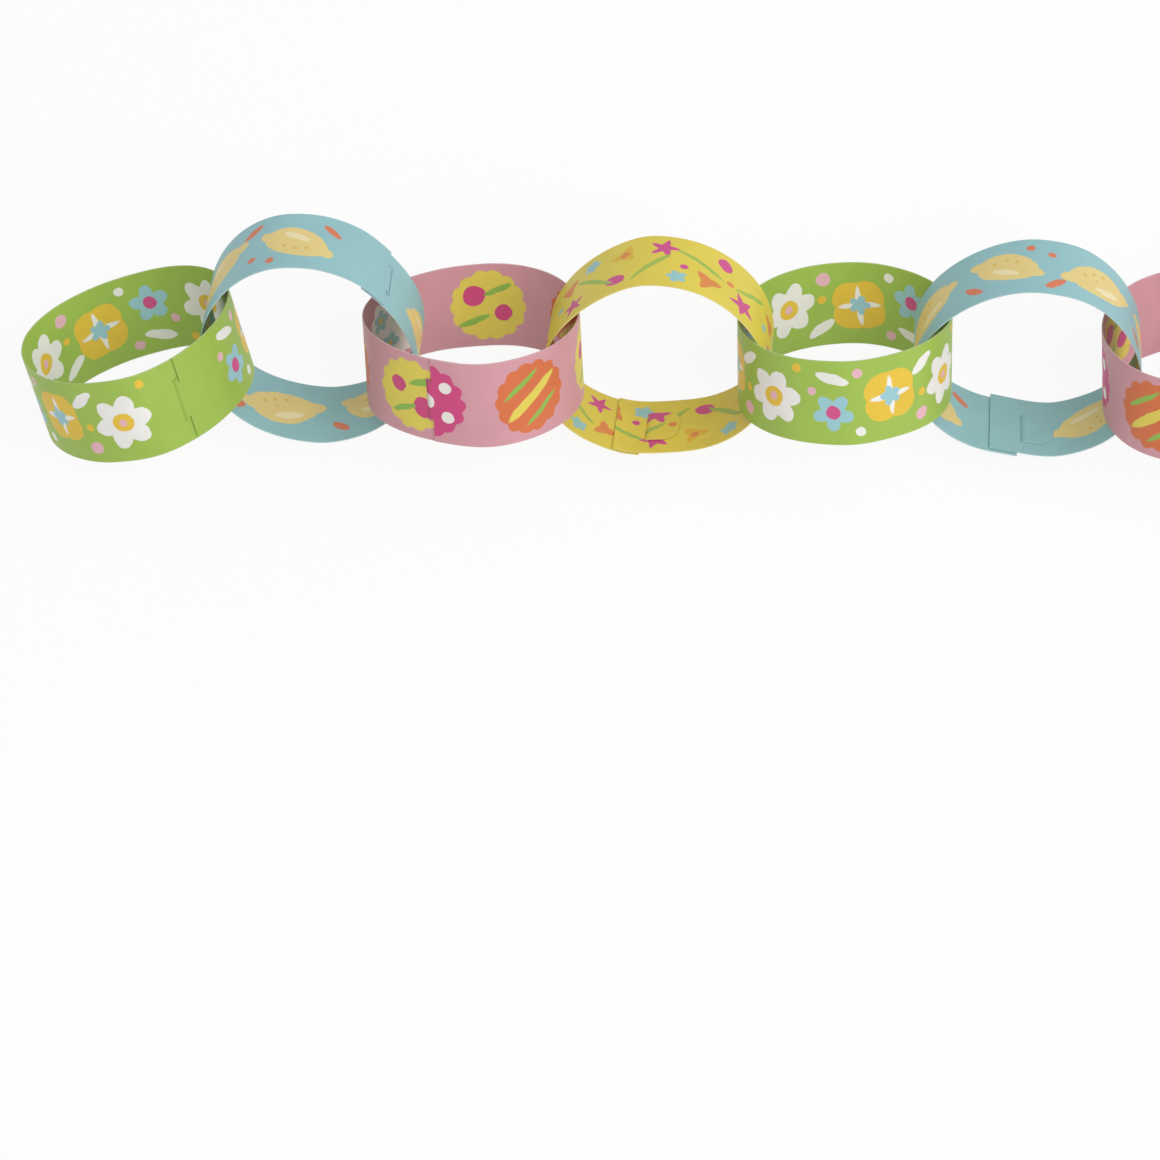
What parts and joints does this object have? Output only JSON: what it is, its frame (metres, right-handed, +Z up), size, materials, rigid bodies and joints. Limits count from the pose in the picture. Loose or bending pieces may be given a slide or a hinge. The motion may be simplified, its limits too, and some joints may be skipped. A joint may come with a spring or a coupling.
{
  "type": "paper chain garland",
  "caption": "Paper chain of printed card strips, each closed into a loop through the next by a tongue in a slot.",
  "frame": {"origin": "middle of the footprint, on the surface that the chain lies on", "axes": "+X along the chain from the first green link to the last pink one, +Z up"},
  "size_m": [0.3678, 0.071, 0.0652],
  "materials": {
    "card_green": "satin",
    "card_blue": "satin",
    "card_pink": "satin",
    "card_yellow": "satin"
  },
  "bodies": {
    "root": {"link_1_green": "card_green", "link_2_blue": "card_blue", "link_3_pink": "card_pink", "link_4_yellow": "card_yellow", "link_5_green": "card_green", "link_6_blue": "card_blue", "link_7_pink": "card_pink"}
  },
  "joints": []
}
